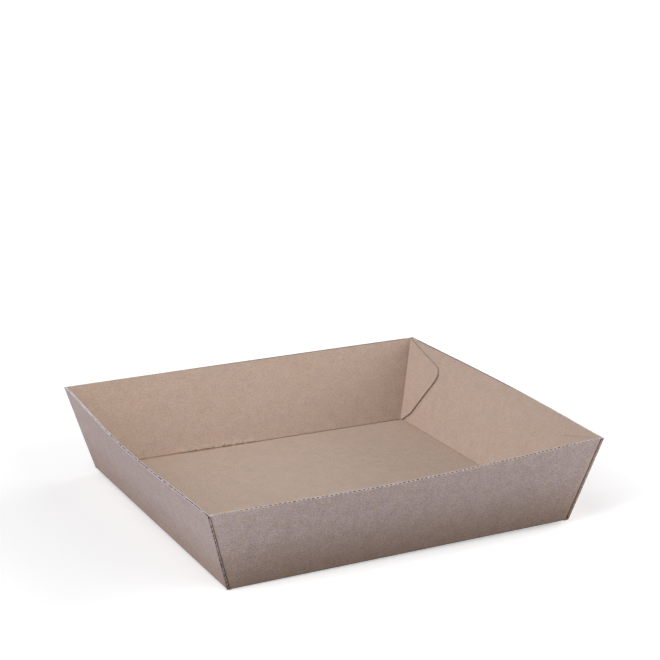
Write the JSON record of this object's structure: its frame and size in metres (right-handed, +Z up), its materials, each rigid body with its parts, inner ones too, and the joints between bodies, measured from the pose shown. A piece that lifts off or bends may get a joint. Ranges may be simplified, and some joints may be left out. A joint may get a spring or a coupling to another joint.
{
  "type": "cardboard tray box",
  "caption": "Shallow open tray folded from one sheet of fine-flute corrugated kraft board, with outward-leaning walls and glued corner tabs.",
  "frame": {"origin": "middle of the underside, on the plane the tray rests on", "axes": "+X along the long walls, +Y along the side walls towards the back, +Z up"},
  "size_m": [0.3014, 0.2844, 0.0609],
  "materials": {
    "kraft_board": "matt uncoated brown kraft liner with a fine fibre mottle"
  },
  "bodies": {
    "root": {"tray": "kraft_board"}
  },
  "joints": []
}
